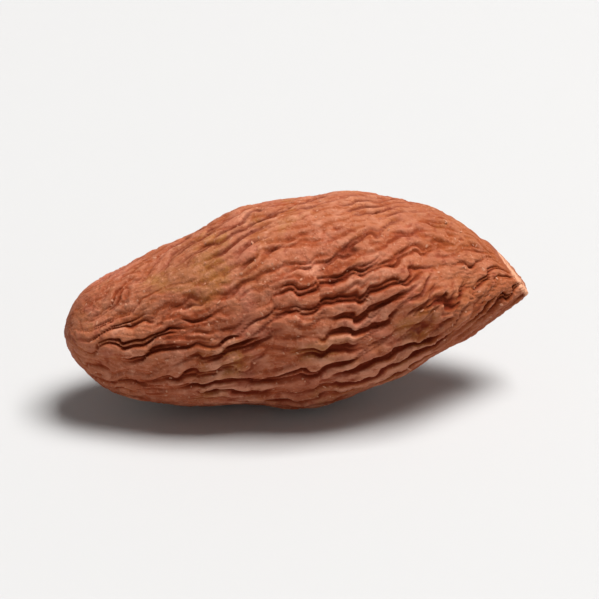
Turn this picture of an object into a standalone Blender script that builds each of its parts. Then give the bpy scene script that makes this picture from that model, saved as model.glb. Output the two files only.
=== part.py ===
"""A malva nut: a whole dried seed, long and plump, with a deeply wrinkled skin.

The nut lies on its side along X. Its round end points to -X, and the tapered end,
with the flat scar where the seed left its pod, points to +X. Sizes are in metres
and +Z is up. The origin is on the floor, below the middle of the nut's box.
"""

import math

import bmesh
import bpy
import numpy as np

NODE_NAME = "malva_nut"

# The plump body, before it is wrinkled
AXIS_LENGTH = 0.0272                # round end to where the taper would come to a point
HALF_WIDTH = 0.0058                 # across Y at the widest place
HALF_HEIGHT = 0.0056                # along Z at the widest place
WIDEST_SHARE = 0.505                # of the length, measured from the round end
ROUND_END_POWER = 0.48              # an ellipse has 0.5
TAPERED_END_POWER = 1.14            # larger makes the taper more slender
AXIS_SWAY = 0.0010                  # how far the axis hangs at the round end and stands at the neck
NECK_SHARE = 0.76                   # of the length, where the axis stands highest
LEAN = math.radians(-0.5)           # the nut settles with its scar end a touch lower

# Broad dents: share of the length, angle round the axis, depth, reach along and round.
# One with a depth below 0 is a swelling.
DENTS = (
    (0.23, math.radians(95), 0.0005, 0.0028, 0.0050),
    (0.58, math.radians(95), 0.0004, 0.0030, 0.0040),
    (0.53, math.radians(265), -0.0004, 0.0030, 0.0036),
    (0.79, math.radians(265), 0.0003, 0.0030, 0.0030),
    (0.88, math.radians(84), 0.00036, 0.0018, 0.0022),
    (0.40, math.radians(200), 0.0003, 0.0030, 0.0026),
    (0.70, math.radians(20), 0.0005, 0.0036, 0.0030),
    (0.34, math.radians(-15), 0.0004, 0.0034, 0.0028),
    (0.82, math.radians(150), 0.0003, 0.0022, 0.0018),
)
UNEVENNESS = 0.00012                # height of the soft random swells
SWELL_REACH = 0.0014

# The folds of the skin
FOLD_SPACING = 0.00112              # from one groove to the next
FOLD_PULL = 0.00055                 # how strongly the folds are drawn out lengthwise
FOLD_SHARPNESS = 8.0
FAVOURED_WAVE = 6.54                # the wave that two blurs, one twice the other, pick out
FIRST_GRAIN = 0.15                  # of the spacing: the size of the first unevenness
CREST_BIAS = 0.45                   # above 0, crests are wider than grooves
FOLD_ROUNDS = 24
FOLD_SEED = 11
FOLD_SLANT = 0.10                   # how far the folds climb for each step towards the scar
FOLD_DEPTH = 0.00048
FOLD_SOFTNESS = 0.00009             # how far the edges of the folds are rounded
FOLD_NARROWNESS = 2.0               # above 1, the grooves narrow towards their floor
LIP_SHARE = 0.5                     # how much the skin beside a groove is raised by it
LIP_REACH = 0.00035
ROLL_HEIGHT = 0.00004               # the crests swell this much between the grooves
ROLL_SOFTNESS = 0.00030

# How the folds stray: sideways by this much, with bends of these reaches round and along
WANDER = 0.00034
WANDER_REACH = (0.0014, 0.0016)
ZIGZAG = 0.00017
ZIGZAG_REACH = (0.0007, 0.00040)
ZIGZAG_SHARPNESS = 2.5              # larger makes the folds run straighter between jogs
LEAST_RADIUS = 0.0025               # where the nut is thinner, the folds stray as much as here

# Where the folds fade
FAINTEST = 0.12                     # of the full depth, where the skin is least gripped
GRIP_REACH = (0.0005, 0.0013)
GRIP_RANGE = (-0.5, 0.8)            # of an even random field, from faint to full
SMOOTH_TOP_ANGLE = math.radians(95)  # the upper side is the least wrinkled
SMOOTH_TOP_REACH = math.radians(44)
SMOOTH_TOP_SHARE = 0.75             # of the depth that the upper side loses
END_FADE = 0.0050                   # the folds run out this near the round end's pole
DEEP_FOLD_RADIUS = 0.0020           # where the nut is thinner, the folds are shallower

# The scar at the tapered end
SCAR_TILT = math.radians(38)        # its face looks this much upwards from the axis
SCAR_TURN = math.radians(2)         # and this much sideways
SCAR_SHARE = 0.9275                 # of the axis length, where the axis runs into the scar
SCAR_DOME_HEIGHT = 0.00040          # its face is domed, and falls away round its middle
SCAR_DOME_REACH = 0.0012
SCAR_ROUNDING = 0.00040
SCAR_CLEARANCE = 0.00040            # the folds run out this far past the scar's edge
SCAR_RIM_WIDTH = 0.00020
SCAR_RIM_HEIGHT = 0.00005
SCAR_HOLLOW = 0.00028               # how far the scar's floor lies below its rim
SCAR_HOLLOW_LIFT = 0.00045          # from the axis up to the hollow's middle
SCAR_HOLLOW_REACH = (0.00085, 0.00060)  # upwards and sideways

# The small flat that the nut rests on
REST_SHARE = 0.5                    # of the way along the skin from the round end
REST_SINK = 0.00013                 # how far the lowest skin is pressed flat
REST_REACH_LENGTHWISE = 0.0040
REST_REACH_ACROSS = 0.0019

# The pattern of the folds is worked out on a net of points over the skin
NET_ROWS = 432                      # from the round end to the tapered end
NET_COLUMNS = 576                   # round the axis

# The faces of the solid
CELLS_ACROSS = 34                   # a quarter of the way round the nut
CELLS_ALONG = 25                    # along the sides, between the two end caps
CAP_SLENDERNESS = 2.0               # larger makes the end caps smaller

# The skin's colour and finish
SKIN_COLOUR = (0.262, 0.083, 0.038, 1.0)
SKIN_ROUGHNESS = 0.62


def clear_scene():
    for thing in list(bpy.data.objects):
        bpy.data.objects.remove(thing)


def smooth_step(low, high, value):
    share = np.clip((value - low) / (high - low), 0.0, 1.0)
    return share * share * (3.0 - 2.0 * share)


def angle_between(one, other):
    return np.abs(np.mod(one - other + math.pi, 2.0 * math.pi) - math.pi)


def bell(*offsets):
    return np.exp(-0.5 * sum(offset**2 for offset in offsets))


class Meridian:
    """The nut's side outline, read by the distance along the skin from the round end."""

    SAMPLES = 4001

    def __init__(self):
        share = (1.0 - np.cos(np.linspace(0.0, math.pi, self.SAMPLES))) / 2.0
        left = 1.0 - share / WIDEST_SHARE
        right = (share - WIDEST_SHARE) / (1.0 - WIDEST_SHARE)
        round_end = np.clip(1.0 - left**2, 0.0, None) ** ROUND_END_POWER
        tapered_end = np.clip(1.0 - right**2, 0.0, None) ** TAPERED_END_POWER
        self.x = share * AXIS_LENGTH
        self.thickness = np.where(share < WIDEST_SHARE, round_end, tapered_end)
        self.radius = self.thickness * HALF_WIDTH
        steps = np.hypot(np.diff(self.x), np.diff(self.radius))
        self.distance = np.concatenate(([0.0], np.cumsum(steps)))
        self.total = self.distance[-1]

    def read(self, distance, values):
        return np.interp(distance, self.distance, values)

    def slope(self, distance):
        reach = self.total / self.SAMPLES
        ahead = np.clip(distance + reach, 0.0, self.total)
        behind = np.clip(distance - reach, 0.0, self.total)
        run = self.read(ahead, self.x) - self.read(behind, self.x)
        rise = self.read(ahead, self.radius) - self.read(behind, self.radius)
        length = np.hypot(run, rise)
        return run / length, rise / length


class SkinNet:
    """Evenly spaced points over the skin, with smoothing in true distances."""

    def __init__(self, meridian):
        self.total = meridian.total
        self.row_step = self.total / NET_ROWS
        self.distance = (np.arange(NET_ROWS) + 0.5) * self.row_step
        self.radius = meridian.read(self.distance, meridian.radius)
        self.waves_round = np.arange(NET_COLUMNS // 2 + 1)
        self.waves_along = 2.0 * math.pi * np.fft.rfftfreq(2 * NET_ROWS, self.row_step)
        self.narrowing = np.sqrt(self.radius / self.radius.max())

    def smooth_round(self, field, reach):
        """Smooth round the axis, over shorter reaches where the nut is thinner."""
        reaches = reach * self.narrowing / self.radius
        keep = np.exp(-0.5 * (reaches[:, None] * self.waves_round[None]) ** 2)
        return np.fft.irfft(np.fft.rfft(field, axis=1) * keep, NET_COLUMNS, axis=1)

    def smooth_along(self, field, reach):
        """Smooth along each meridian, which runs on over both ends of the nut."""
        far_side = np.roll(field[::-1], NET_COLUMNS // 2, axis=1)
        keep = np.exp(-0.5 * (reach * self.waves_along) ** 2)[:, None]
        loop = np.fft.rfft(np.concatenate((field, far_side)), axis=0) * keep
        return np.fft.irfft(loop, 2 * NET_ROWS, axis=0)[:NET_ROWS]

    def smooth(self, field, reach_round, reach_along):
        return self.smooth_along(self.smooth_round(field, reach_round), reach_along)

    def noise(self, seed, reach_round, reach_along):
        field = np.random.default_rng(seed).standard_normal((NET_ROWS, NET_COLUMNS))
        field = self.smooth(field, reach_round, reach_along)
        return (field - field.mean()) / field.std()

    def read(self, field, distance, angle):
        row = np.clip(distance / self.row_step - 0.5, 0.0, NET_ROWS - 1.001)
        column = np.mod(angle / (2.0 * math.pi), 1.0) * NET_COLUMNS
        low_row = row.astype(int)
        low_column = column.astype(int) % NET_COLUMNS
        next_column = (low_column + 1) % NET_COLUMNS
        down = row - low_row
        over = column - np.floor(column)
        first = field[low_row, low_column] * (1 - over) + field[low_row, next_column] * over
        second = field[low_row + 1, low_column] * (1 - over) + field[low_row + 1, next_column] * over
        return first * (1 - down) + second * down


def shrink_into_folds(net):
    """Let the skin buckle: +1 on the crests and -1 in the grooves."""
    narrow = FOLD_SPACING / FAVOURED_WAVE
    grain = FOLD_SPACING * FIRST_GRAIN
    skin = net.noise(FOLD_SEED, grain, grain)
    for _ in range(FOLD_ROUNDS):
        push = net.smooth(skin, narrow, narrow) - net.smooth(skin, 2.0 * narrow, 2.0 * narrow)
        push = net.smooth_along(push, FOLD_PULL)
        skin = np.tanh(FOLD_SHARPNESS * push + CREST_BIAS)
    return skin


def fold_relief(net):
    """Height of the folds on the net: swelling crests between grooves of uneven depth."""
    folds = shrink_into_folds(net)
    creases = 0.5 - 0.5 * net.smooth(folds, FOLD_SOFTNESS, FOLD_SOFTNESS)
    grip = smooth_step(*GRIP_RANGE, net.noise(FOLD_SEED + 1, *GRIP_REACH))
    creases = np.clip(creases, 0.0, 1.0) ** FOLD_NARROWNESS
    creases *= FAINTEST + (1.0 - FAINTEST) * grip
    grooves = creases - LIP_SHARE * net.smooth(creases, LIP_REACH, LIP_REACH)
    rolls = net.smooth(folds, ROLL_SOFTNESS, ROLL_SOFTNESS)
    rolls = (rolls - rolls.mean()) / rolls.std()
    return ROLL_HEIGHT * rolls - FOLD_DEPTH * (grooves - grooves.mean())


def stray(net, distance, angle, radius):
    """The angles at which the folds are read, so that they wander and zigzag."""
    wander = net.read(net.noise(FOLD_SEED + 2, *WANDER_REACH), distance, angle)
    zigzag = net.read(net.noise(FOLD_SEED + 3, *ZIGZAG_REACH), distance, angle)
    sideways = WANDER * wander + ZIGZAG * np.tanh(ZIGZAG_SHARPNESS * zigzag)
    sideways += FOLD_SLANT * (distance - net.total / 2.0)
    return angle + sideways / np.maximum(radius, LEAST_RADIUS)


def dents(distance, angle, radius, total):
    depth = np.zeros_like(distance)
    for share, place, deepest, reach_along, reach_round in DENTS:
        along = (distance - share * total) / reach_along
        around = angle_between(angle, place) * radius / reach_round
        depth += deepest * bell(along, around)
    return depth


def axis_height(x):
    return -AXIS_SWAY * np.cos(math.pi * x / (NECK_SHARE * AXIS_LENGTH))


def skin_points(distance, angle, meridian, net):
    """Places on the wrinkled skin, for distances from the round end and angles."""
    radius = meridian.read(distance, meridian.radius)
    thickness = meridian.read(distance, meridian.thickness)
    run, rise = meridian.slope(distance)
    x = meridian.read(distance, meridian.x)
    y = thickness * HALF_WIDTH * np.cos(angle)
    z = thickness * HALF_HEIGHT * np.sin(angle) + axis_height(x)
    base = np.stack((x, y, z), axis=1)
    outward = np.stack((-rise, run * np.cos(angle), run * np.sin(angle)), axis=1)

    top = bell(angle_between(angle, SMOOTH_TOP_ANGLE) / SMOOTH_TOP_REACH)
    wrinkled = 1.0 - SMOOTH_TOP_SHARE * top
    wrinkled *= smooth_step(0.0, END_FADE, distance)
    wrinkled *= smooth_step(0.0, DEEP_FOLD_RADIUS, radius)
    wrinkled *= smooth_step(-SCAR_CLEARANCE, 0.0, -past_scar(base))
    under = angle_between(angle, LEAN - math.pi / 2.0) * radius / REST_REACH_ACROSS
    lengthwise = (distance - REST_SHARE * meridian.total) / REST_REACH_LENGTHWISE
    wrinkled *= 1.0 - np.exp(-0.5 * (under**2 + lengthwise**2) ** 2)

    swell = net.read(net.noise(FOLD_SEED + 4, SWELL_REACH, SWELL_REACH), distance, angle)
    relief = net.read(fold_relief(net), distance, stray(net, distance, angle, radius))
    lift = wrinkled * (relief + UNEVENNESS * swell)
    lift -= dents(distance, angle, radius, meridian.total)
    return press_scar(base + outward * lift[:, None])


def scar_frame():
    """Where the axis runs into the scar, and the scar's way out, up and sideways."""
    facing = np.array((math.cos(SCAR_TILT), math.sin(SCAR_TURN), math.sin(SCAR_TILT)))
    facing /= np.linalg.norm(facing)
    side = np.cross((0.0, 0.0, 1.0), facing)
    side /= np.linalg.norm(side)
    x = SCAR_SHARE * AXIS_LENGTH
    return np.array((x, 0.0, axis_height(x))), facing, np.cross(facing, side), side


def past_scar(points):
    """How far places lie past the domed face of the scar."""
    middle, facing, up, _ = scar_frame()
    centre = middle + SCAR_HOLLOW_LIFT * up
    sideways = (points[:, 1] - centre[1]) / SCAR_DOME_REACH
    upwards = (points[:, 2] - centre[2]) / (SCAR_DOME_REACH * facing[0])
    doming = (sideways**2 + upwards**2) * bell(sideways, upwards)
    return (points - middle) @ facing + SCAR_DOME_HEIGHT * doming


def press_scar(points):
    """Push the tapered tip back along X into the scar, hollow within its low rim."""
    middle, facing, up, side = scar_frame()
    over = past_scar(points)
    flattened = 0.5 * (over - np.sqrt(over**2 + SCAR_ROUNDING**2))
    points = points.copy()
    points[:, 0] += (flattened - over) / facing[0]
    upwards = (points - middle) @ up - SCAR_HOLLOW_LIFT
    sideways = (points - middle) @ side
    rim = SCAR_RIM_HEIGHT * np.exp(-((over / SCAR_RIM_WIDTH) ** 2))
    hollow = bell(upwards / SCAR_HOLLOW_REACH[0], sideways / SCAR_HOLLOW_REACH[1])
    hollow *= SCAR_HOLLOW * smooth_step(-SCAR_RIM_WIDTH, SCAR_RIM_WIDTH, over)
    return points + np.outer(rim - hollow, facing)


def lay_down(points):
    """Lean the nut, press its lowest skin flat, and put its box over the origin."""
    cosine = math.cos(LEAN)
    sine = math.sin(LEAN)
    x = points[:, 0] * cosine - points[:, 2] * sine
    z = points[:, 0] * sine + points[:, 2] * cosine
    floor = z.min() + REST_SINK
    z = np.maximum(z, floor) - floor
    y = points[:, 1]
    x = x - (x.min() + x.max()) / 2.0
    y = y - (y.min() + y.max()) / 2.0
    return np.stack((x, y, z), axis=1)


def gridded_box(cells_across, cells_along):
    """A box of edge 2 with a fine grid on each face, its corners at plus and minus 1."""
    mesh = bmesh.new()
    bmesh.ops.create_cube(mesh, size=2.0)
    rims = [edge for edge in mesh.edges if abs(edge.verts[0].co.x - edge.verts[1].co.x) < 1.0]
    bmesh.ops.subdivide_edges(mesh, edges=rims, cuts=cells_across - 1, use_grid_fill=True)
    sides = [edge for edge in mesh.edges if abs(edge.verts[0].co.x - edge.verts[1].co.x) > 1.0]
    bmesh.ops.subdivide_edges(mesh, edges=sides, cuts=cells_along - 1, use_grid_fill=True)
    return mesh


def wrap_over_nut(corners, meridian):
    """Turn places on the gridded box into distances along the skin and angles."""
    x = np.tan(corners[:, 0] * math.atan(CAP_SLENDERNESS))
    y = np.tan(corners[:, 1] * math.pi / 4.0)
    z = np.tan(corners[:, 2] * math.pi / 4.0)
    turned = np.arctan2(np.hypot(y, z), -x) / math.pi
    return turned * meridian.total, np.arctan2(z, y)


def skin_material():
    material = bpy.data.materials.new("dry_wrinkled_skin")
    material.use_nodes = True
    finish = material.node_tree.nodes["Principled BSDF"]
    finish.inputs["Base Color"].default_value = SKIN_COLOUR
    finish.inputs["Roughness"].default_value = SKIN_ROUGHNESS
    finish.inputs["Metallic"].default_value = 0.0
    material.diffuse_color = SKIN_COLOUR
    return material


def make_nut():
    meridian = Meridian()
    net = SkinNet(meridian)
    grid = gridded_box(CELLS_ACROSS, CELLS_ALONG)
    corners = np.array([corner.co[:] for corner in grid.verts])
    distance, angle = wrap_over_nut(corners, meridian)
    points = lay_down(skin_points(distance, angle, meridian, net))
    for corner, place in zip(grid.verts, points):
        corner.co = place
    bmesh.ops.triangulate(grid, faces=grid.faces[:], quad_method="SHORT_EDGE")
    bmesh.ops.recalc_face_normals(grid, faces=grid.faces[:])

    mesh = bpy.data.meshes.new(NODE_NAME)
    grid.to_mesh(mesh)
    grid.free()
    mesh.shade_smooth()
    mesh.materials.append(skin_material())
    nut = bpy.data.objects.new(NODE_NAME, mesh)
    bpy.context.scene.collection.objects.link(nut)
    return nut


clear_scene()
make_nut()
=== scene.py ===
"""The look of one dried malva nut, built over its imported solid.

The skin is a fine mesh of the same form as the solid. One Geometry Nodes tree raises
its folds, crinkles and pores and cuts the scar, and another strews loose scurf on it.
All sizes are in metres, in the frame of the solid: +X towards the scarred end, +Z up.
"""

import math

import bmesh
import bpy
import numpy as np
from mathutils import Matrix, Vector


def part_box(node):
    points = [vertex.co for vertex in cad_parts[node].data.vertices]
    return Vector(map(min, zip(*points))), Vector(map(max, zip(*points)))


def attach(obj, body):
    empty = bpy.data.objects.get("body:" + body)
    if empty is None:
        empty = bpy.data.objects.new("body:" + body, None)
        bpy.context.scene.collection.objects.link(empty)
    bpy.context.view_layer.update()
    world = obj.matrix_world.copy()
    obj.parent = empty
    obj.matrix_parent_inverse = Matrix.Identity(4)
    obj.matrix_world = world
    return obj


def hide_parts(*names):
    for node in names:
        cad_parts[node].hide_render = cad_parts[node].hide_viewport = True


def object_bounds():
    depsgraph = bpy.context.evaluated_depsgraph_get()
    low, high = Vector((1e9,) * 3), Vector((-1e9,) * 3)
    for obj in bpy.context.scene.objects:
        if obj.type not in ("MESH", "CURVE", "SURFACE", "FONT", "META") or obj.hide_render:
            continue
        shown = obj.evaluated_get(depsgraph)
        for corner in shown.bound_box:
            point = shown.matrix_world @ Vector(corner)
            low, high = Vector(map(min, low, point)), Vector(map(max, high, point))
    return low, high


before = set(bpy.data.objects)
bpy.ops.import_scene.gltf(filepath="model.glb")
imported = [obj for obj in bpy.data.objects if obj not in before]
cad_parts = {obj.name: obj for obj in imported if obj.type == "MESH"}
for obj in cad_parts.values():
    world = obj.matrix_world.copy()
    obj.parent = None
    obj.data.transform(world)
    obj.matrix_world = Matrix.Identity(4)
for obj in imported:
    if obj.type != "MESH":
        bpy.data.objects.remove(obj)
solid_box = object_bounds()

NUT = "malva_nut"
BODY = "root"

# The plump body, with the solid's own sizes
AXIS_LENGTH = 0.0272                # round end to where the taper would come to a point
HALF_WIDTH = 0.0058
HALF_HEIGHT = 0.0056
WIDEST_SHARE = 0.505
ROUND_END_POWER = 0.48
TAPERED_END_POWER = 1.14
AXIS_SWAY = 0.0010
NECK_SHARE = 0.76
LEAN = math.radians(-0.5)

# Dents, and one swell: how far along, at what angle, how deep, and their reach along and round
DENTS = (
    (0.23, math.radians(95), 0.0005, 0.0028, 0.0050),
    (0.58, math.radians(95), 0.0004, 0.0030, 0.0040),
    (0.53, math.radians(265), -0.0004, 0.0030, 0.0036),
    (0.79, math.radians(265), 0.0003, 0.0030, 0.0030),
    (0.88, math.radians(84), 0.00036, 0.0018, 0.0022),
    (0.40, math.radians(200), 0.0003, 0.0030, 0.0026),
    (0.70, math.radians(20), 0.0005, 0.0036, 0.0030),
    (0.34, math.radians(-15), 0.0004, 0.0034, 0.0028),
    (0.82, math.radians(150), 0.0003, 0.0022, 0.0018),
)

# How the skin buckles into folds
FOLD_SHARPNESS = 8.0
FAVOURED_WAVE = 6.54                # the folds' spacing over the reach of the narrower smoothing
FIRST_GRAIN = 0.15                  # the size of the first bumps, as a share of the spacing

# The main folds, in the solid's own places
FOLD_SEED = 11
FOLD_SPACING = 0.00112
FOLD_PULL = 0.00055
FOLD_BIAS = 0.45
FOLD_ROUNDS = 24
FOLD_SOFTNESS = 0.00005
FOLD_NARROWNESS = 3.0
FOLD_SLANT = 0.10
FOLD_DEPTH = 0.00036
LIP_SHARE = 0.5                     # how much a groove raises the skin beside it
LIP_REACH = 0.00035
ROLL_HEIGHT = 0.00004
ROLL_SOFTNESS = 0.00030

# Broad grooves: the shares of groove within this reach from which it fills up, and is filled
BROAD_REACH = 0.00014
BROAD_RANGE = (0.80, 0.97)

# Small folds between them, and slanting ones that are deepest on the upper side
SMALL_SEED = 5
SMALL_SPACING = 0.00062
SMALL_PULL = 0.00014
SMALL_BIAS = 0.30
SMALL_ROUNDS = 16
SMALL_SOFTNESS = 0.00004
SMALL_DEPTH = 0.00007
SMALL_GRIP_REACH = (0.0005, 0.0008)
SMALL_GRIP_RANGE = (-0.6, 1.0)
SMALL_STRAY = 0.8                   # how far they stray, as a share of the main folds' way
SMALL_TOP_SHARE = 0.40              # of their depth that they lose on the upper side
SLANT_SEED = 12
SLANT_SPACING = 0.00100
SLANT_PULL = 0.00030
SLANT_BIAS = 0.42
SLANT_ROUNDS = 20
SLANT_NARROWNESS = 2.6
SLANT = 0.35
SLANT_DEPTH = 0.00026
SLANT_GRIP_REACH = (0.0006, 0.0009)
SLANT_GRIP_RANGE = (-0.7, 0.5)
SLANT_STRAY = 1.2
SLANT_SHARE_BELOW = 0.4             # of their depth that they keep away from the upper side
SLANT_CLEARANCE = 0.0040            # they fade over this distance to the scar
SLANT_START = (0.10, 0.42)          # and towards the blunt end, over this stretch of the length
SLANT_SHARE_AT_START = 0.25

# How the folds stray sideways, with bends of these reaches round and along
WANDER = 0.00034
WANDER_REACH = (0.0014, 0.0016)
ZIGZAG = 0.00017
ZIGZAG_REACH = (0.0007, 0.00040)
ZIGZAG_SHARPNESS = 2.5
JITTER = 0.00006
JITTER_REACH = (0.00030, 0.00025)
LEAST_RADIUS = 0.0025               # where the nut is thinner, the folds stray as much as here

# Where all folds fade: this close to the blunt end, and where the nut is thinner than this
BLUNT_END_FADE = 0.0050
THIN_END_RADIUS = 0.0020

# Where the main folds fade as well: here and there, on the upper side, and at the blunt end again
FAINTEST = 0.12
GRIP_REACH = (0.0005, 0.0013)
GRIP_RANGE = (-0.5, 0.8)
SMOOTH_TOP_ANGLE = math.radians(95)
SMOOTH_TOP_REACH = math.radians(44)
SMOOTH_TOP_SHARE = 0.75
MAIN_END_FADE = 0.0050

# Soft swells and the finest crinkles
SWELL_HEIGHT = 0.00010
SWELL_REACH = (0.0008, 0.0011)
CRINKLE_DEPTH = 0.00005
CRINKLE_REACH = (0.00011, 0.00017)
CRINKLE_LEVEL = 0.6                 # the height of the crinkles that leaves the skin where it is
CUSHION_TOP = 1.2
CUSHION_ROUNDNESS = 0.7
PORE_DEPTH = 0.000015
PORE_SIZE = 0.00022
PORE_SEED = 4
LUMP_DETAIL = 3.0                   # of the noise that makes the pores and the cork

# The scar
SCAR_TILT = math.radians(38)
SCAR_TURN = math.radians(2)
SCAR_SHARE = 0.9275
SCAR_DOME_HEIGHT = 0.00040
SCAR_DOME_REACH = 0.0012
SCAR_ROUNDING = 0.00040
SCAR_CLEARANCE = 0.00040
SCAR_RIM_WIDTH = 0.00020
SCAR_RIM_HEIGHT = 0.00005
SCAR_HOLLOW = 0.00028
SCAR_HOLLOW_LIFT = 0.00045
SCAR_HOLLOW_REACH = (0.00085, 0.00060)
CORK_SIZE = 0.00024
CORK_HEIGHT = 0.00016

# How far past the scar's edge, in widths of its rim, the hollow and the cork start and are whole
HOLLOW_START = (-1.0, 1.0)
CORK_START = (0.0, 2.0)

# Loose scurf on the skin
FLAKE_SEED = 9
FLAKES_ON_SQUARE_METRE = 600000.0
SMALLEST_FLAKE = (0.00004, 0.00003, 0.000010)   # half of its length, width and thickness
LARGEST_FLAKE = (0.00014, 0.00008, 0.000024)
FLAKE_TILT = 0.3                    # the most that a flake leans either way, in radians
FLAKE_SEGMENTS = 8
FLAKE_RINGS = 5
FLAKE_NOISE_SCALE = 0.9             # of the noise that bends a flake out of round
BARE_CREASE = (0.3, 0.1)            # the depths of crease with no scurf, and with all of it
BARE_EDGE = (-0.0004, -0.0010)      # the same for the distance past the scar's edge

# The resting flat
REST_SHARE = 0.5
REST_SINK = 0.00013
REST_REACH_LENGTHWISE = 0.0040
REST_REACH_ACROSS = 0.0019
LOWEST_PLACE = (-1.0, -1.0, 0.0)    # too far out to matter to the sides, and the floor below

# Nets of points for the patterns, and the faces of the skin
FOLD_NET = (432, 576)
CRINKLE_NET = (720, 960)
CELLS_ACROSS = 112
CELLS_ALONG = 158
CAP_SLENDERNESS = 2.0

# The floor
FLOOR_REACH = 0.6
FLOOR_SWEEP_RADIUS = 0.5
FLOOR_SWEEP_STEPS = 12
FLOOR_SIDES = 96
FLOOR_MERGE_DISTANCE = 0.00001
FLOOR_ROUGHNESS = 0.8

# The light: each lamp's place, size and power, and the sky
LAMPS = {
    "soft_key": ((0.385, 0.0, 1.19), 0.63, 26.5),
    "soft_front": ((-0.70, -1.40, 1.19), 1.40, 0.5),
}
SKY_STRENGTH = 0.10

# The camera: its angles in degrees, and its lens and sensor in millimetres
CAMERA_AZIMUTH = -8.0
CAMERA_ELEVATION = 25.0
CAMERA_LENS = 150.0
CAMERA_SENSOR = 36.0
CAMERA_NEAREST = 0.005
NUT_SHARE_OF_FRAME = 0.78

# Colours: red, green and blue in linear light, and opacity
RED_BROWN = (0.34, 0.076, 0.026, 1.0)
TAN = (0.43, 0.150, 0.055, 1.0)
OLIVE_BROWN = (0.32, 0.145, 0.030, 1.0)
DUSTY_PINK = (0.46, 0.130, 0.085, 1.0)
PURPLE_BROWN = (0.20, 0.029, 0.010, 1.0)
END_BROWN = (0.27, 0.064, 0.010, 1.0)
DUSTY_CREST = (0.59, 0.25, 0.148, 1.0)
# Painted highlight on the raised lips beside the grooves
LIP_HIGHLIGHT = (0.66, 0.30, 0.192, 1.0)
# Painted shade on the flanks of the grooves
FLANK_SHADE = (0.22, 0.030, 0.006, 1.0)
# Painted shade in the grooves, the small folds and the crinkles
GROOVE_SHADE = (0.120, 0.011, 0.001, 1.0)
SCAR_PEACH = (0.66, 0.32, 0.19, 1.0)
SCAR_BROWN = (0.26, 0.070, 0.028, 1.0)
SCURF_TAN = (0.46, 0.19, 0.105, 1.0)
PALE = (0.53, 0.525, 0.52, 1.0)

# Patterns of the paint: size, detail, roughness, distortion
BLOTCHES = (0.0011, 4.0, 0.62, 0.4)
GRAIN = (0.00045, 5.0, 0.65, 0.0)
SPECKLE = (0.00016, 3.0, 0.6, 0.0)
CORK_GRAIN = (0.0003, 4.0, 0.7, 0.0)
PITS = (0.00022, 2.0, 0.5, 0.0)

# Broad patches on the red-brown ground: colour, pattern, the levels of the pattern at which they
# start and are whole, and strength
PATCHES = (
    (TAN, (0.0050, 3.0, 0.5, 0.0), 0.45, 0.70, 0.65),
    (OLIVE_BROWN, (0.0034, 3.0, 0.5, 0.5), 0.54, 0.68, 0.65),
    (DUSTY_PINK, (0.0025, 3.0, 0.5, 0.5), 0.53, 0.66, 0.50),
    (PURPLE_BROWN, (0.0038, 2.0, 0.5, 0.6), 0.52, 0.72, 0.45),
)

# Coats over the patches: colour, the levels of their pattern or mark at which they start and are
# whole, and strength
COATS = {
    "light blotches": (DUSTY_CREST, 0.50, 0.66, 0.50),
    "dark blotches": (PURPLE_BROWN, 0.47, 0.33, 0.50),
    "tapered end": (END_BROWN, 0.55, 0.80, 0.60),
    # Painted shade: the lower side darker and more purple-brown
    "shade on low side": (PURPLE_BROWN, 0.60, 0.15, 0.40),
    "worn crests": (DUSTY_CREST, 1.05, 1.55, 0.30),
    # Painted highlight on the raised lips beside the grooves
    "highlight on lips of grooves": (LIP_HIGHLIGHT, 0.08, 0.24, 0.55),
    "speckle": (DUSTY_CREST, 0.56, 0.70, 0.60),
    "dark grain": (PURPLE_BROWN, 0.46, 0.34, 0.50),
    # Painted shade in the crinkles, the small folds and the grooves, and on their flanks
    "crinkles": (GROOVE_SHADE, 0.35, 0.00, 0.25),
    "shade on flanks of grooves": (FLANK_SHADE, -0.04, 0.16, 0.60),
    "small folds": (GROOVE_SHADE, 0.30, 0.90, 0.40),
    "shade in deep grooves": (GROOVE_SHADE, 0.15, 0.55, 1.00),
}

# How much each mark and the grain add to the wear, or take from it
WEAR = {"crease": -1.4, "small": -0.5, "crinkle": 0.25}
GRAIN_WEAR = 0.5

# How ragged the edges of some coats are, and what the slanting folds add to them
END_RAGGEDNESS = 0.3
LIP_HIGHLIGHT_RAGGEDNESS = 0.3
FLANK_RAGGEDNESS = 0.2
SLANT_ON_FLANKS = 0.3
SLANT_IN_GROOVES = 0.8

# Two levels of facing upwards, and how strong the dust with its painted top light, and the painted
# shade of the grooves, are at each
DUST_AND_LIGHT_BY_UPWARD = (0.15, 0.85, 0.70, 1.0)
SHADE_BY_UPWARD = (0.95, 0.35, 0.55, 1.0)
DUST_AND_LIGHT_LOST_AT_END = 0.35             # the share of it that the tapered end loses

# The paint of the scar: how far past its edge the pale rim and the cork start and are whole
RIM_PAINT_START = (-0.00038, -0.00024)
CORK_PAINT_START = (0.00010, 0.00040)
EDGE_RAGGEDNESS = 0.0007

# And how far from the middle of the hollow, in its own reaches, the scar's paint and the brown of
# the hollow fade
SCAR_PAINT_FADE = (2.4, 2.0)
SCAR_FADE_BY_BLOTCHES = 1.6
SCAR_FADE_BY_GRAIN = 0.8
HOLLOW_PAINT_FADE = (1.5, 0.5)
HOLLOW_PAINT_RAGGEDNESS = 1.2
HOLLOW_PAINT_STRENGTH = 0.75

# Pits in the pale rim, and brown specks in the cork
PIT_LEVELS = (0.56, 0.66)
PIT_STRENGTH = 0.8
CORK_SPECK_LEVELS = (0.38, 0.62)
CORK_SPECK_STRENGTH = 0.8

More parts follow.
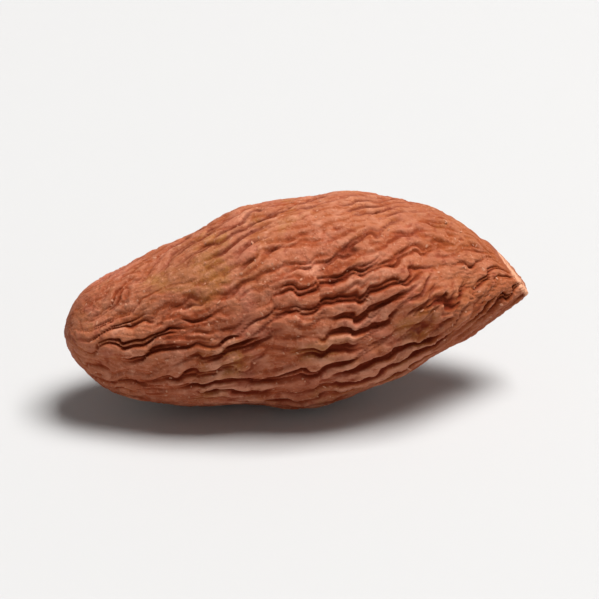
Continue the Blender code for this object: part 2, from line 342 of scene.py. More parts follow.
# The finish of the skin and of the scurf
SKIN_ROUGHNESS = 0.80
WORN_POLISH = 0.25
SCAR_DULLNESS = 0.10
SKIN_SPECULAR = 0.12
BUMP_STRENGTH = 0.9
BUMP_HEIGHT = 0.00010
SPECKLE_RELIEF = 0.5                # as a share of the grain's
SCURF_ROUGHNESS = 0.85


def smooth_step(low, high, value):
    share = np.clip((value - low) / (high - low), 0.0, 1.0)
    return share * share * (3.0 - 2.0 * share)


def angle_between(one, other):
    return np.abs(np.mod(one - other + math.pi, 2.0 * math.pi) - math.pi)


def bell(*offsets):
    return np.exp(-0.5 * sum(offset**2 for offset in offsets))


class Meridian:
    """The nut's side outline, read by the distance along the skin from the round end."""

    SAMPLES = 4001

    def __init__(self):
        share = (1.0 - np.cos(np.linspace(0.0, math.pi, self.SAMPLES))) / 2.0
        left = 1.0 - share / WIDEST_SHARE
        right = (share - WIDEST_SHARE) / (1.0 - WIDEST_SHARE)
        round_end = np.clip(1.0 - left**2, 0.0, None) ** ROUND_END_POWER
        tapered_end = np.clip(1.0 - right**2, 0.0, None) ** TAPERED_END_POWER
        self.x = share * AXIS_LENGTH
        self.thickness = np.where(share < WIDEST_SHARE, round_end, tapered_end)
        self.radius = self.thickness * HALF_WIDTH
        steps = np.hypot(np.diff(self.x), np.diff(self.radius))
        self.distance = np.concatenate(([0.0], np.cumsum(steps)))
        self.total = self.distance[-1]

    def read(self, distance, values):
        return np.interp(distance, self.distance, values)

    def slope(self, distance):
        reach = self.total / self.SAMPLES
        ahead = np.clip(distance + reach, 0.0, self.total)
        behind = np.clip(distance - reach, 0.0, self.total)
        run = self.read(ahead, self.x) - self.read(behind, self.x)
        rise = self.read(ahead, self.radius) - self.read(behind, self.radius)
        length = np.hypot(run, rise)
        return run / length, rise / length


class SkinNet:
    """Evenly spaced points over the skin, with smoothing in distances on the skin."""

    def __init__(self, meridian, rows, columns):
        self.rows = rows
        self.columns = columns
        self.row_step = meridian.total / rows
        self.distance = (np.arange(rows) + 0.5) * self.row_step
        self.radius = meridian.read(self.distance, meridian.radius)
        self.waves_round = np.arange(columns // 2 + 1)
        self.waves_along = 2.0 * math.pi * np.fft.rfftfreq(2 * rows, self.row_step)
        self.narrowing = np.sqrt(self.radius / self.radius.max())

    def smooth_round(self, field, reach):
        """Smooth round the axis, over shorter reaches where the nut is thinner."""
        reaches = reach * self.narrowing / self.radius
        keep = np.exp(-0.5 * (reaches[:, None] * self.waves_round[None]) ** 2)
        return np.fft.irfft(np.fft.rfft(field, axis=1) * keep, self.columns, axis=1)

    def smooth_along(self, field, reach):
        """Smooth along each meridian, which runs on over both ends of the nut."""
        far_side = np.roll(field[::-1], self.columns // 2, axis=1)
        keep = np.exp(-0.5 * (reach * self.waves_along) ** 2)[:, None]
        loop = np.fft.rfft(np.concatenate((field, far_side)), axis=0) * keep
        return np.fft.irfft(loop, 2 * self.rows, axis=0)[: self.rows]

    def smooth(self, field, reach_round, reach_along):
        return self.smooth_along(self.smooth_round(field, reach_round), reach_along)

    def noise(self, seed, reach_round, reach_along):
        field = np.random.default_rng(seed).standard_normal((self.rows, self.columns))
        field = self.smooth(field, reach_round, reach_along)
        return (field - field.mean()) / field.std()

    def folds(self, seed, spacing, pull, bias, rounds):
        """Let the skin buckle: +1 on the crests and -1 in the grooves."""
        narrow = spacing / FAVOURED_WAVE
        skin = self.noise(seed, spacing * FIRST_GRAIN, spacing * FIRST_GRAIN)
        for _ in range(rounds):
            push = self.smooth(skin, narrow, narrow)
            push -= self.smooth(skin, 2.0 * narrow, 2.0 * narrow)
            push = self.smooth_along(push, pull)
            skin = np.tanh(FOLD_SHARPNESS * push + bias)
        return skin

    def creases(self, folds, softness, narrowness):
        """Grooves, 1 at their deepest, and shallower where they are broad."""
        creases = np.clip(0.5 - 0.5 * self.smooth(folds, softness, softness), 0.0, 1.0)
        broad = self.smooth(creases, BROAD_REACH, BROAD_REACH)
        return creases**narrowness * (1.0 - smooth_step(*BROAD_RANGE, broad))

    def crinkles(self, seed, reach_round, reach_along):
        """Cushions of skin, about 1 high, with fine creases down to 0 between them."""
        field = self.noise(seed, reach_round, reach_along)
        field -= self.smooth_round(field, 2.0 * reach_round)
        return np.clip(np.abs(field / field.std()), 0.0, CUSHION_TOP) ** CUSHION_ROUNDNESS

    def read(self, field, distance, angle):
        """Read a pattern between its points, from the first row to just short of the last."""
        row = np.clip(distance / self.row_step - 0.5, 0.0, self.rows - 1.001)
        column = np.mod(angle / (2.0 * math.pi), 1.0) * self.columns
        low_row = row.astype(int)
        low_column = column.astype(int) % self.columns
        next_column = (low_column + 1) % self.columns
        down = row - low_row
        over = column - np.floor(column)
        first, first_next = field[low_row, low_column], field[low_row, next_column]
        second, second_next = field[low_row + 1, low_column], field[low_row + 1, next_column]
        first = first * (1 - over) + first_next * over
        second = second * (1 - over) + second_next * over
        return first * (1 - down) + second * down


def axis_height(x):
    return -AXIS_SWAY * np.cos(math.pi * x / (NECK_SHARE * AXIS_LENGTH))


def scar_frame():
    """Where the axis runs into the scar, and the way the scar faces."""
    facing = np.array((math.cos(SCAR_TILT), math.sin(SCAR_TURN), math.sin(SCAR_TILT)))
    facing /= np.linalg.norm(facing)
    x = SCAR_SHARE * AXIS_LENGTH
    return np.array((x, 0.0, axis_height(x))), facing


def scar_directions(facing):
    """Upwards and sideways in the scar's face."""
    side = np.cross((0.0, 0.0, 1.0), facing)
    side /= np.linalg.norm(side)
    return np.cross(facing, side), side


def past_scar(points, middle, facing):
    """How far places lie past the scar, whose face is a little domed."""
    centre = middle + SCAR_HOLLOW_LIFT * scar_directions(facing)[0]
    sideways = (points[:, 1] - centre[1]) / SCAR_DOME_REACH
    upwards = (points[:, 2] - centre[2]) / (SCAR_DOME_REACH * facing[0])
    doming = (sideways**2 + upwards**2) * bell(sideways, upwards)
    return (points - middle) @ facing + SCAR_DOME_HEIGHT * doming


def lean(points):
    cosine = math.cos(LEAN)
    sine = math.sin(LEAN)
    x = points[:, 0] * cosine - points[:, 2] * sine
    z = points[:, 0] * sine + points[:, 2] * cosine
    return np.stack((x, points[:, 1], z), axis=1)


def gridded_box(cells_across, cells_along):
    """A box of edge 2 with a fine grid on each face."""
    mesh = bmesh.new()
    bmesh.ops.create_cube(mesh, size=2.0)
    rims = [edge for edge in mesh.edges if abs(edge.verts[0].co.x - edge.verts[1].co.x) < 1.0]
    bmesh.ops.subdivide_edges(mesh, edges=rims, cuts=cells_across - 1, use_grid_fill=True)
    sides = [edge for edge in mesh.edges if abs(edge.verts[0].co.x - edge.verts[1].co.x) > 1.0]
    bmesh.ops.subdivide_edges(mesh, edges=sides, cuts=cells_along - 1, use_grid_fill=True)
    return mesh


class Skin:
    """Every corner of the skin: its smooth place, and the marks that raise and paint it."""

    def __init__(self, corners):
        self.meridian = Meridian()
        self.net = SkinNet(self.meridian, *FOLD_NET)
        self.fine_net = SkinNet(self.meridian, *CRINKLE_NET)
        self.wrap(corners)
        self.place_body()
        self.find_wrinkled()
        self.fold()
        self.settle()

    def wrap(self, corners):
        """Turn places on the gridded box into distances along the skin and angles."""
        x = np.tan(corners[:, 0] * math.atan(CAP_SLENDERNESS))
        y = np.tan(corners[:, 1] * math.pi / 4.0)
        z = np.tan(corners[:, 2] * math.pi / 4.0)
        turned = np.arctan2(np.hypot(y, z), -x) / math.pi
        self.distance = turned * self.meridian.total
        self.angle = np.arctan2(z, y)
        self.radius = self.meridian.read(self.distance, self.meridian.radius)

    def place_body(self):
        thickness = self.meridian.read(self.distance, self.meridian.thickness)
        run, rise = self.meridian.slope(self.distance)
        cosine = np.cos(self.angle)
        sine = np.sin(self.angle)
        x = self.meridian.read(self.distance, self.meridian.x)
        height = thickness * HALF_HEIGHT * sine + axis_height(x)
        self.points = np.stack((x, thickness * HALF_WIDTH * cosine, height), axis=1)
        self.outward = np.stack((-rise, run * cosine, run * sine), axis=1)

    def find_wrinkled(self):
        """Where the skin may fold: less at the ends, and not on the scar or the resting flat."""
        self.top = bell(angle_between(self.angle, SMOOTH_TOP_ANGLE) / SMOOTH_TOP_REACH)
        self.below_scar = -past_scar(self.points, *scar_frame())
        self.free = smooth_step(-SCAR_CLEARANCE, 0.0, self.below_scar)
        under = angle_between(self.angle, LEAN - math.pi / 2.0) * self.radius / REST_REACH_ACROSS
        lengthwise = (self.distance - REST_SHARE * self.meridian.total) / REST_REACH_LENGTHWISE
        self.free *= 1.0 - np.exp(-0.5 * (under**2 + lengthwise**2) ** 2)
        self.wrinkled = self.free * smooth_step(0.0, BLUNT_END_FADE, self.distance)
        self.wrinkled *= smooth_step(0.0, THIN_END_RADIUS, self.radius)

    def noise(self, number, reach):
        """A random pattern on the skin, with a seed of its own for each number."""
        field = self.net.noise(FOLD_SEED + number, *reach)
        return self.net.read(field, self.distance, self.angle)

    def sideways(self):
        """How far to the side of each place its folds are read."""
        sideways = WANDER * self.noise(2, WANDER_REACH)
        sideways += ZIGZAG * np.tanh(ZIGZAG_SHARPNESS * self.noise(3, ZIGZAG_REACH))
        return sideways + JITTER * self.noise(5, JITTER_REACH)

    def turn(self, sideways, slant):
        """The angle at which slanting folds are read."""
        sideways = sideways + slant * (self.distance - self.meridian.total / 2.0)
        return self.angle + sideways / np.maximum(self.radius, LEAST_RADIUS)

    def fold(self):
        sideways = self.sideways()
        self.make_main_folds(sideways)
        self.make_small_folds(sideways)
        self.make_slanting_folds(sideways)
        crinkles = self.fine_net.crinkles(SMALL_SEED + 1, *CRINKLE_REACH)
        self.crinkle_mark = self.free * self.fine_net.read(crinkles, self.distance, self.angle)
        self.swell_mark = self.free * self.noise(4, SWELL_REACH)

    def make_main_folds(self, sideways):
        net = self.net
        folds = net.folds(FOLD_SEED, FOLD_SPACING, FOLD_PULL, FOLD_BIAS, FOLD_ROUNDS)
        rolls = net.smooth(folds, ROLL_SOFTNESS, ROLL_SOFTNESS)
        rolls = (rolls - rolls.mean()) / rolls.std()
        grip = smooth_step(*GRIP_RANGE, net.noise(FOLD_SEED + 1, *GRIP_REACH))
        creases = net.creases(folds, FOLD_SOFTNESS, FOLD_NARROWNESS)
        creases *= FAINTEST + (1.0 - FAINTEST) * grip
        grooves = creases - LIP_SHARE * net.smooth(creases, LIP_REACH, LIP_REACH)
        angle = self.turn(sideways, FOLD_SLANT)
        keep = self.wrinkled * (1.0 - SMOOTH_TOP_SHARE * self.top)
        keep *= smooth_step(0.0, MAIN_END_FADE, self.distance)
        self.fold_mark = keep * net.read(grooves - grooves.mean(), self.distance, angle)
        self.crease_mark = keep * net.read(creases, self.distance, angle)
        self.roll_mark = keep * net.read(rolls, self.distance, angle)

    def make_small_folds(self, sideways):
        net = self.fine_net
        folds = net.folds(SMALL_SEED, SMALL_SPACING, SMALL_PULL, SMALL_BIAS, SMALL_ROUNDS)
        creases = net.creases(folds, SMALL_SOFTNESS, 1.0)
        angle = self.turn(SMALL_STRAY * sideways, FOLD_SLANT)
        grip = smooth_step(*SMALL_GRIP_RANGE, self.noise(6, SMALL_GRIP_REACH))
        grip *= self.wrinkled * (1.0 - SMALL_TOP_SHARE * self.top)
        self.small_mark = grip * net.read(creases, self.distance, angle)

    def make_slanting_folds(self, sideways):
        net = self.net
        folds = net.folds(SLANT_SEED, SLANT_SPACING, SLANT_PULL, SLANT_BIAS, SLANT_ROUNDS)
        grip = smooth_step(*SLANT_GRIP_RANGE, net.noise(FOLD_SEED + 7, *SLANT_GRIP_REACH))
        creases = grip * net.creases(folds, SMALL_SOFTNESS, SLANT_NARROWNESS)
        angle = self.turn(SLANT_STRAY * sideways, SLANT)
        keep = self.wrinkled * (SLANT_SHARE_BELOW + (1.0 - SLANT_SHARE_BELOW) * self.top)
        keep *= smooth_step(0.0, SLANT_CLEARANCE, self.below_scar)
        start = smooth_step(*SLANT_START, self.distance / self.meridian.total)
        keep *= SLANT_SHARE_AT_START + (1.0 - SLANT_SHARE_AT_START) * start
        self.slant_mark = keep * net.read(creases, self.distance, angle)

    def dent(self):
        for share, place, deepest, reach_along, reach_round in DENTS:
            along = (self.distance - share * self.meridian.total) / reach_along
            around = angle_between(self.angle, place) * self.radius / reach_round
            self.points -= self.outward * (deepest * bell(along, around))[:, None]

    def settle(self):
        """Lean the nut, and put it where the solid's box is."""
        self.dent()
        self.points = lean(self.points)
        self.outward = lean(self.outward)
        middle, facing = lean(np.array(scar_frame()))
        low, high = (np.array(corner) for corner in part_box(NUT))
        raised = self.points - self.outward * (FOLD_DEPTH * self.fold_mark)[:, None]
        over = past_scar(raised, middle, facing)
        raised[:, 0] -= 0.5 * (over + np.hypot(over, SCAR_ROUNDING)) / facing[0]
        shift = (low + high) / 2.0 - (raised.min(axis=0) + raised.max(axis=0)) / 2.0
        shift[2] = low[2] - REST_SINK - raised[:, 2].min()
        self.points += shift
        up, side = scar_directions(facing)
        doming = 1.0 / SCAR_DOME_REACH
        self.scar = {
            "scar_middle": tuple(middle + shift),
            "scar_facing": tuple(facing),
            "scar_doming": (0.0, doming, doming / facing[0]),
            "scar_upwards": tuple(up / SCAR_HOLLOW_REACH[0]),
            "scar_sideways": tuple(side / SCAR_HOLLOW_REACH[1]),
            "hollow_middle": tuple(middle + shift + SCAR_HOLLOW_LIFT * up),
        }

    def marks(self):
        """What the nodes read: heights and depths, places, and how free the skin is to rise."""
        return {
            "fold": self.fold_mark,
            "crease": self.crease_mark,
            "roll": self.roll_mark,
            "small": self.small_mark,
            "slant": self.slant_mark,
            "crinkle": self.crinkle_mark,
            "swell": self.swell_mark,
            "free": self.free,
            "upward": 0.5 + 0.5 * self.outward[:, 2],
            "along": self.distance / self.meridian.total,
        }


class Wire:
    """A socket of a node tree. Sums on it add Math nodes."""

    def __init__(self, board, socket):
        self.board = board
        self.socket = socket

    def sum(self, operation, first, second):
        return self.board.add("ShaderNodeMath", {"operation": operation}, {0: first, 1: second})

    def __add__(self, other):
        return self.sum("ADD", self, other)

    def __sub__(self, other):
        return self.sum("SUBTRACT", self, other)

    def __rsub__(self, other):
        return self.sum("SUBTRACT", other, self)

    def __mul__(self, other):
        return self.sum("MULTIPLY", self, other)

    def __truediv__(self, other):
        return self.sum("DIVIDE", self, other)

    def __rtruediv__(self, other):
        return self.sum("DIVIDE", other, self)

    def __pow__(self, other):
        return self.sum("POWER", self, other)

    def __rpow__(self, other):
        return self.sum("POWER", other, self)

    __radd__ = __add__
    __rmul__ = __mul__


class Board:
    """A node tree that is built by plain calls."""

    def __init__(self, tree):
        self.tree = tree

    def add(self, kind, settings=None, sockets=None, output=0):
        """Add a node with its settings, and with values or links for its sockets."""
        node = self.tree.nodes.new(kind)
        for name, value in (settings or {}).items():
            setattr(node, name, value)
        for name, value in (sockets or {}).items():
            if isinstance(value, Wire):
                self.tree.links.new(value.socket, node.inputs[name])
            else:
                node.inputs[name].default_value = value
        return Wire(self, node.outputs[output])

    def vector(self, operation, first, second, output=0):
        kind = "ShaderNodeVectorMath"
        return self.add(kind, {"operation": operation}, {0: first, 1: second}, output)

    def scaled(self, first, factor):
        sockets = {0: first, "Scale": factor}
        return self.add("ShaderNodeVectorMath", {"operation": "SCALE"}, sockets)

    def between(self, value, low, high, start=0.0, end=1.0):
        """Go smoothly from start to end while the value goes from low to high."""
        sockets = {"Value": value, "From Min": low, "From Max": high}
        sockets.update({"To Min": start, "To Max": end})
        return self.add("ShaderNodeMapRange", {"interpolation_type": "SMOOTHSTEP"}, sockets)


class Paint(Board):
    """A material's node tree."""

    def __init__(self, name):
        self.material = bpy.data.materials.new(name)
        self.material.use_nodes = True
        super().__init__(self.material.node_tree)
        self.finish = self.tree.nodes["Principled BSDF"]

    def mark(self, name):
        return self.add("ShaderNodeAttribute", {"attribute_name": name}, output=2)

    def noise(self, size, detail, roughness, distortion):
        place = self.add("ShaderNodeTexCoord", output=3)
        sockets = {"Vector": place, "Scale": 1.0 / size, "Detail": detail}
        sockets.update({"Roughness": roughness, "Distortion": distortion})
        return self.add("ShaderNodeTexNoise", {}, sockets)

    def mix(self, mask, first, second):
        sockets = {0: mask, 6: first, 7: second}
        return self.add("ShaderNodeMix", {"data_type": "RGBA"}, sockets, output=2)

    def feed(self, name, wire):
        self.tree.links.new(wire.socket, self.finish.inputs[name])

    def set(self, name, value):
        self.finish.inputs[name].default_value = value


class Workshop(Board):
    """A Geometry Nodes tree with named inputs, run once on an object and then taken off."""

    SOCKETS = {float: "NodeSocketFloat", int: "NodeSocketInt", tuple: "NodeSocketVector"}

    def __init__(self, name, **inputs):
        super().__init__(bpy.data.node_groups.new(name, "GeometryNodeTree"))
        face = self.tree.interface
        face.new_socket(name="Geometry", in_out="INPUT", socket_type="NodeSocketGeometry")
        face.new_socket(name="Geometry", in_out="OUTPUT", socket_type="NodeSocketGeometry")
        self.settings = {}
        for title, value in inputs.items():
            label = title.replace("_", " ").title()
            kind = self.SOCKETS[type(value)]
            socket = face.new_socket(name=label, in_out="INPUT", socket_type=kind)
            self.settings[socket.identifier] = value
        self.entrance = self.tree.nodes.new("NodeGroupInput")
        self.exit = self.tree.nodes.new("NodeGroupOutput")

    def given(self, title):
        return Wire(self, self.entrance.outputs[title])

    def mark(self, name, kind="FLOAT"):
        return self.add("GeometryNodeInputNamedAttribute", {"data_type": kind}, {"Name": name})

    def place(self):
        return self.add("GeometryNodeInputPosition")

    def store(self, geometry, name, value):
        sockets = {"Geometry": geometry, "Name": name, "Value": value}
        return self.add("GeometryNodeStoreNamedAttribute", {"data_type": "FLOAT"}, sockets)

    def move(self, geometry, offset):
        return self.add("GeometryNodeSetPosition", {}, {"Geometry": geometry, "Offset": offset})

    def reach(self, place, start, direction):
        """How far a place lies from the start that one input gives, in another's direction."""
        from_start = self.vector("SUBTRACT", place, self.given(start))
        return self.vector("DOT_PRODUCT", from_start, self.given(direction), "Value")

    def lumps(self, size, seed):
        """Random heights from about -1 to 1, of the size and seed that the inputs give."""
        sockets = {"Vector": self.place(), "W": self.given(seed)}
        sockets.update({"Scale": 1.0 / self.given(size), "Detail": LUMP_DETAIL})
        lumps = self.add("ShaderNodeTexNoise", {"noise_dimensions": "4D"}, sockets)
        return (lumps - 0.5) * 2.0

    def end(self, geometry, material):
        """Realize what is instanced, give it its material, and send it out."""
        geometry = self.add("GeometryNodeRealizeInstances", {}, {"Geometry": geometry})
        sockets = {"Geometry": geometry, "Material": material}
        geometry = self.add("GeometryNodeSetMaterial", {}, sockets)
        self.tree.links.new(geometry.socket, self.exit.inputs[0])

    def run(self, piece):
        """Run the tree on a piece, and leave the plain mesh that comes out."""
        modifier = piece.modifiers.new(self.tree.name, "NODES")
        modifier.node_group = self.tree
        for identifier, value in self.settings.items():
            modifier[identifier] = value
        depsgraph = bpy.context.evaluated_depsgraph_get()
        mesh = bpy.data.meshes.new_from_object(piece.evaluated_get(depsgraph))
        piece.modifiers.remove(modifier)
        piece.data = mesh
        return piece


def new_piece(name, mesh):
    piece = bpy.data.objects.new(name, mesh)
    bpy.context.scene.collection.objects.link(piece)
    return piece


def smooth_skin_mesh():
    """The nut without its folds, and with its marks stored on its points."""
    grid = gridded_box(CELLS_ACROSS, CELLS_ALONG)
    mesh = bpy.data.meshes.new("smooth_skin")
    grid.to_mesh(mesh)
    grid.free()
    corners = np.zeros(len(mesh.vertices) * 3)
    mesh.vertices.foreach_get("co", corners)
    skin = Skin(corners.reshape(-1, 3))
    mesh.vertices.foreach_set("co", skin.points.ravel())
    for name, values in skin.marks().items():
        mark = mesh.attributes.new(name, "FLOAT", "POINT")
        mark.data.foreach_set("value", values.astype(np.float32))
    outward = mesh.attributes.new("outward", "FLOAT_VECTOR", "POINT")
    outward.data.foreach_set("vector", skin.outward.astype(np.float32).ravel())
    mesh.shade_smooth()
    return mesh, skin.scar


def raise_folds(smooth_skin, material):
    """Raise folds, crinkles and pores, cut the scar, and press the nut on the floor."""
    mesh, scar = smooth_skin
    tree = Workshop(
        "raise_folds",
        fold_depth=FOLD_DEPTH,
        roll_height=ROLL_HEIGHT,
        small_fold_depth=SMALL_DEPTH,
        slanting_fold_depth=SLANT_DEPTH,
        crinkle_depth=CRINKLE_DEPTH,
        swell_height=SWELL_HEIGHT,
        pore_depth=PORE_DEPTH,
        pore_size=PORE_SIZE,
        pore_seed=PORE_SEED,
        scar_rounding=SCAR_ROUNDING,
        scar_dome=SCAR_DOME_HEIGHT,
        scar_hollow=SCAR_HOLLOW,
        rim_width=SCAR_RIM_WIDTH,
        rim_height=SCAR_RIM_HEIGHT,
        cork_size=CORK_SIZE,
        cork_height=CORK_HEIGHT,
        **scar,
    )
    relief = tree.scaled(tree.mark("outward", "FLOAT_VECTOR"), height_of_skin(tree))
    skin = tree.move(tree.given("Geometry"), relief)
    skin = cut_scar(tree, skin)
    skin = shape_scar_face(tree, skin)
    on_floor = tree.vector("MAXIMUM", tree.place(), LOWEST_PLACE)
    skin = tree.add("GeometryNodeSetPosition", {}, {"Geometry": skin, "Position": on_floor})
    skin = tree.add("GeometryNodeTriangulate", {"quad_method": "SHORTEST_DIAGONAL"}, {"Mesh": skin})
    tree.end(skin, material)
    return tree.run(new_piece("nut_skin", mesh))


def height_of_skin(tree):
    """How far folds, swells, crinkles and pores raise the smooth skin."""
    pores = tree.lumps("Pore Size", "Pore Seed")
    height = tree.given("Roll Height") * tree.mark("roll")
    height += tree.given("Swell Height") * tree.mark("swell")
    height += tree.given("Crinkle Depth") * (tree.mark("crinkle") - CRINKLE_LEVEL)
    height += tree.given("Pore Depth") * pores
    height -= tree.given("Fold Depth") * tree.mark("fold")
    height -= tree.given("Small Fold Depth") * tree.mark("small")
    height -= tree.given("Slanting Fold Depth") * tree.mark("slant")
    return height * tree.mark("free")


def cut_scar(tree, skin):
    """Press what lies past the domed face of the scar back onto it, with a rounded edge."""
    place = tree.place()
    spread = tree.vector("SUBTRACT", place, tree.given("Hollow Middle"))
    spread = tree.vector("MULTIPLY", spread, tree.given("Scar Doming"))
    square = tree.vector("DOT_PRODUCT", spread, spread, "Value")
    doming = tree.given("Scar Dome") * square * math.e ** (-0.5 * square)
    over = tree.reach(place, "Scar Middle", "Scar Facing") + doming
    skin = tree.store(skin, "over_scar", over)
    over = tree.mark("over_scar")
    rounding = tree.given("Scar Rounding")
    flattened = 0.5 * (over - (over * over + rounding * rounding) ** 0.5)
    forward = tree.add("ShaderNodeSeparateXYZ", {}, {0: tree.given("Scar Facing")})
    back = tree.add("ShaderNodeCombineXYZ", {}, {0: (flattened - over) / forward})
    return tree.move(skin, back)


def shape_scar_face(tree, skin):
    """Raise the scar's rim and cork, and sink its hollow."""
    place = tree.place()
    upwards = tree.reach(place, "Hollow Middle", "Scar Upwards")
    sideways = tree.reach(place, "Hollow Middle", "Scar Sideways")
    from_hollow = (upwards * upwards + sideways * sideways) ** 0.5
    skin = tree.store(skin, "from_hollow", from_hollow)
    past_edge = tree.mark("over_scar") / tree.given("Rim Width")
    hollow = math.e ** (-0.5 * from_hollow * from_hollow)
    hollow *= tree.given("Scar Hollow") * tree.between(past_edge, *HOLLOW_START)
    rim = tree.given("Rim Height") * math.e ** (-1.0 * past_edge * past_edge)
    cork = tree.lumps("Cork Size", "Pore Seed") * tree.given("Cork Height")
    cork *= tree.between(past_edge, *CORK_START)
    return tree.move(skin, tree.scaled(tree.given("Scar Facing"), rim + cork - hollow))


def strew_scurf(skin, material):
    """Flakes of dry skin, strewn on the crests and off the scar."""
    tree = Workshop(
        "strew_scurf",
        flake_seed=FLAKE_SEED,
        flakes_on_square_metre=FLAKES_ON_SQUARE_METRE,
        smallest_flake=SMALLEST_FLAKE,
        largest_flake=LARGEST_FLAKE,
    )
    seed = tree.given("Flake Seed")
    crest = tree.between(tree.mark("crease"), *BARE_CREASE)
    crest *= tree.between(tree.mark("over_scar"), *BARE_EDGE)
    density = tree.given("Flakes On Square Metre") * crest * tree.mark("free")
    sockets = {"Mesh": tree.given("Geometry"), "Density": density, "Seed": seed}
    points = tree.add("GeometryNodeDistributePointsOnFaces", {}, sockets)
    facing = Wire(tree, points.socket.node.outputs["Rotation"])

    random = {"data_type": "FLOAT_VECTOR"}
    least_tilt = (-FLAKE_TILT, -FLAKE_TILT, 0.0)
    most_tilt = (FLAKE_TILT, FLAKE_TILT, math.tau)
    limits = {0: least_tilt, 1: most_tilt, "Seed": seed}
    tilt = tree.add("FunctionNodeRandomValue", random, limits)
    tilt = tree.add("FunctionNodeEulerToRotation", {}, {0: tilt})
    sockets = {0: facing, 1: tilt}
    facing = tree.add("FunctionNodeRotateRotation", {"rotation_space": "LOCAL"}, sockets)
    limits = {0: tree.given("Smallest Flake"), 1: tree.given("Largest Flake"), "Seed": seed}
    size = tree.add("FunctionNodeRandomValue", random, limits)

    sockets = {"Segments": FLAKE_SEGMENTS, "Rings": FLAKE_RINGS}
    flake = tree.add("GeometryNodeMeshUVSphere", {}, sockets)
    lumps = tree.add("ShaderNodeTexNoise", {}, {"Scale": FLAKE_NOISE_SCALE}, output=1)
    flake = tree.move(flake, tree.vector("SUBTRACT", lumps, (0.5, 0.5, 0.5)))
    sockets = {"Points": points, "Instance": flake, "Rotation": facing, "Scale": size}
    tree.end(tree.add("GeometryNodeInstanceOnPoints", {}, sockets), material)
    return tree.run(new_piece("scurf", skin.data.copy()))


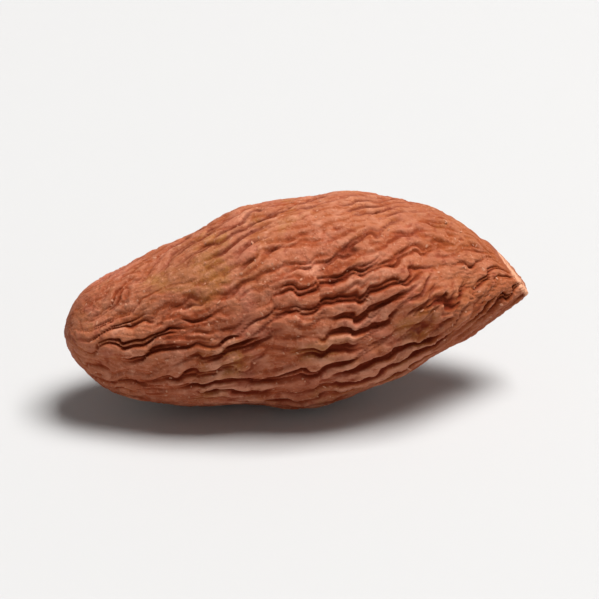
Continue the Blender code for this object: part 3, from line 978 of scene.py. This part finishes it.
class SkinPaint(Paint):
    """The paint of the dried skin, laid on coat by coat."""

    def __init__(self):
        super().__init__("dried_nut_skin")
        self.colour = RED_BROWN
        self.blotches = self.noise(*BLOTCHES)
        self.grain = self.noise(*GRAIN)
        self.speckle = self.noise(*SPECKLE)
        self.paint_patches()
        self.paint_blotches()
        self.paint_ends_and_sides()
        self.paint_crests()
        self.paint_grooves()
        self.paint_scar()
        self.feed("Base Color", self.colour)
        self.finish_surface()

    def coat(self, name, pattern, where=None):
        """Lay a coat on, where a mask lets it if one is given, and return how it covers."""
        colour, start, whole, strength = COATS[name]
        cover = self.between(pattern, start, whole)
        mask = cover * strength if where is None else cover * where * strength
        self.colour = self.mix(mask, self.colour, colour)
        return cover

    def ragged(self, value, pattern, amount):
        """A value that a pattern makes higher in some places and lower in others."""
        return value + (pattern - 0.5) * amount

    def paint_patches(self):
        for colour, pattern, start, whole, strength in PATCHES:
            cover = self.between(self.noise(*pattern), start, whole)
            self.colour = self.mix(cover * strength, self.colour, colour)

    def paint_blotches(self):
        self.coat("light blotches", self.blotches)
        self.coat("dark blotches", self.blotches)

    def paint_ends_and_sides(self):
        upward = self.mark("upward")
        along = self.ragged(self.mark("along"), self.blotches, END_RAGGEDNESS)
        tapered = self.coat("tapered end", along)
        # Painted shade: darker and more purple-brown on the lower side
        self.coat("shade on low side", upward)
        # Dust and painted light, both stronger on the upper side: they lighten the worn crests, the
        # lips and the speckle
        self.dust_and_top_light = self.between(upward, *DUST_AND_LIGHT_BY_UPWARD) * (1.0 - tapered * DUST_AND_LIGHT_LOST_AT_END)
        # How strong the painted shade of the grooves is: more on the lower side
        self.shaded = self.between(upward, *SHADE_BY_UPWARD)

    def paint_crests(self):
        wear = 1.0
        for name, share in WEAR.items():
            wear += self.mark(name) * share
        wear += self.grain * GRAIN_WEAR
        self.worn = self.coat("worn crests", wear, self.dust_and_top_light)
        # Painted highlight on the raised lips beside the grooves, stronger on the upper side
        lip = self.ragged(-1.0 * self.mark("fold"), self.blotches, LIP_HIGHLIGHT_RAGGEDNESS)
        self.coat("highlight on lips of grooves", lip, self.dust_and_top_light)
        self.coat("speckle", self.speckle, self.dust_and_top_light)

    def paint_grooves(self):
        slant = self.mark("slant")
        self.coat("dark grain", self.grain)
        # Painted shade in the crinkles, on the flanks of the grooves, in the small folds and in the
        # grooves, stronger on the lower side
        self.coat("crinkles", self.mark("crinkle"))
        flank = self.mark("fold") + slant * SLANT_ON_FLANKS
        flank = self.ragged(flank, self.grain, FLANK_RAGGEDNESS)
        self.coat("shade on flanks of grooves", flank, self.shaded)
        self.coat("small folds", self.mark("small"))
        self.coat("shade in deep grooves", self.mark("crease") + slant * SLANT_IN_GROOVES, self.shaded)

    def paint_scar(self):
        from_hollow = self.mark("from_hollow")
        past_edge = self.ragged(self.mark("over_scar"), self.grain, EDGE_RAGGEDNESS)
        near = self.ragged(from_hollow, self.blotches, SCAR_FADE_BY_BLOTCHES)
        near = self.ragged(near, self.grain, SCAR_FADE_BY_GRAIN)
        near = self.between(near, *SCAR_PAINT_FADE)
        self.scar = self.between(past_edge, *RIM_PAINT_START) * near
        pits = self.between(self.noise(*PITS), *PIT_LEVELS)
        self.colour = self.mix(self.scar * (1.0 - pits * PIT_STRENGTH), self.colour, SCAR_PEACH)

        specks = self.between(self.noise(*CORK_GRAIN), *CORK_SPECK_LEVELS)
        cork = self.mix(specks * CORK_SPECK_STRENGTH, SCAR_PEACH, SCAR_BROWN)
        deep = self.ragged(from_hollow, self.grain, HOLLOW_PAINT_RAGGEDNESS)
        deep = self.between(deep, *HOLLOW_PAINT_FADE)
        cork = self.mix(deep * HOLLOW_PAINT_STRENGTH, cork, SCAR_BROWN)
        inside = self.between(past_edge, *CORK_PAINT_START)
        self.colour = self.mix(inside * near, self.colour, cork)

    def finish_surface(self):
        roughness = SKIN_ROUGHNESS - self.worn * WORN_POLISH + self.scar * SCAR_DULLNESS
        self.feed("Roughness", roughness)
        self.set("Specular IOR Level", SKIN_SPECULAR)
        relief = self.grain + self.speckle * SPECKLE_RELIEF
        sockets = {"Strength": BUMP_STRENGTH, "Distance": BUMP_HEIGHT, "Height": relief}
        self.feed("Normal", self.add("ShaderNodeBump", {}, sockets))


def plain_material(name, colour, roughness):
    paint = Paint(name)
    paint.set("Base Color", colour)
    paint.set("Roughness", roughness)
    return paint.material


def lay_floor():
    """A pale floor that sweeps up all round, far from the nut and below the lamps."""
    floor = bmesh.new()
    profile = [(0.0, 0.0), (FLOOR_REACH, 0.0)]
    for step in range(1, FLOOR_SWEEP_STEPS + 1):
        turned = math.pi / 2.0 * step / FLOOR_SWEEP_STEPS
        out = FLOOR_REACH + FLOOR_SWEEP_RADIUS * math.sin(turned)
        profile.append((out, FLOOR_SWEEP_RADIUS * (1.0 - math.cos(turned))))
    corners = [floor.verts.new((out, 0.0, up)) for out, up in profile]
    edges = [floor.edges.new(pair) for pair in zip(corners, corners[1:])]
    bmesh.ops.spin(
        floor,
        geom=corners + edges,
        axis=(0.0, 0.0, 1.0),
        cent=(0.0, 0.0, 0.0),
        steps=FLOOR_SIDES,
        angle=2.0 * math.pi,
    )
    bmesh.ops.remove_doubles(floor, verts=floor.verts[:], dist=FLOOR_MERGE_DISTANCE)
    bmesh.ops.recalc_face_normals(floor, faces=floor.faces[:])
    if sum(face.normal.z for face in floor.faces) < 0.0:
        bmesh.ops.reverse_faces(floor, faces=floor.faces[:])
    mesh = bpy.data.meshes.new("pale_floor")
    floor.to_mesh(mesh)
    floor.free()
    mesh.shade_smooth()
    mesh.materials.append(plain_material("pale_matte", PALE, FLOOR_ROUGHNESS))
    new_piece("pale_floor", mesh)


def hang_lamp(name, place, size, power):
    lamp = bpy.data.lights.new(name, "AREA")
    lamp.size = size
    lamp.energy = power
    holder = new_piece(name, lamp)
    holder.location = place
    holder.rotation_euler = (-Vector(place)).to_track_quat("-Z", "Y").to_euler()


def light_studio():
    for name, (place, size, power) in LAMPS.items():
        hang_lamp(name, place, size, power)
    world = bpy.data.worlds.new("studio")
    bpy.context.scene.world = world
    world.use_nodes = True
    sky = world.node_tree.nodes["Background"]
    sky.inputs["Color"].default_value = (1.0, 1.0, 1.0, 1.0)
    sky.inputs["Strength"].default_value = SKY_STRENGTH
    bpy.context.scene.view_settings.view_transform = "Standard"


def place_camera(box):
    low, high = box
    middle = (low + high) / 2.0
    azimuth = math.radians(CAMERA_AZIMUTH)
    elevation = math.radians(CAMERA_ELEVATION)
    back = Vector((
        math.sin(azimuth) * math.cos(elevation),
        -math.cos(azimuth) * math.cos(elevation),
        math.sin(elevation),
    ))
    width_seen = (high.x - low.x) / NUT_SHARE_OF_FRAME
    camera = bpy.data.cameras.new("photo_view")
    camera.lens = CAMERA_LENS
    camera.sensor_width = CAMERA_SENSOR
    camera.clip_start = CAMERA_NEAREST
    holder = new_piece("photo_view", camera)
    holder.location = middle + back * (width_seen * CAMERA_LENS / CAMERA_SENSOR)
    holder.rotation_euler = (-back).to_track_quat("-Z", "Y").to_euler()
    bpy.context.scene.camera = holder


place_camera(solid_box)
light_studio()
lay_floor()
skin = raise_folds(smooth_skin_mesh(), SkinPaint().material)
scurf = strew_scurf(skin, plain_material("pale_scurf", SCURF_TAN, SCURF_ROUGHNESS))
for piece in (skin, scurf):
    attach(piece, BODY)
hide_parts(NUT)
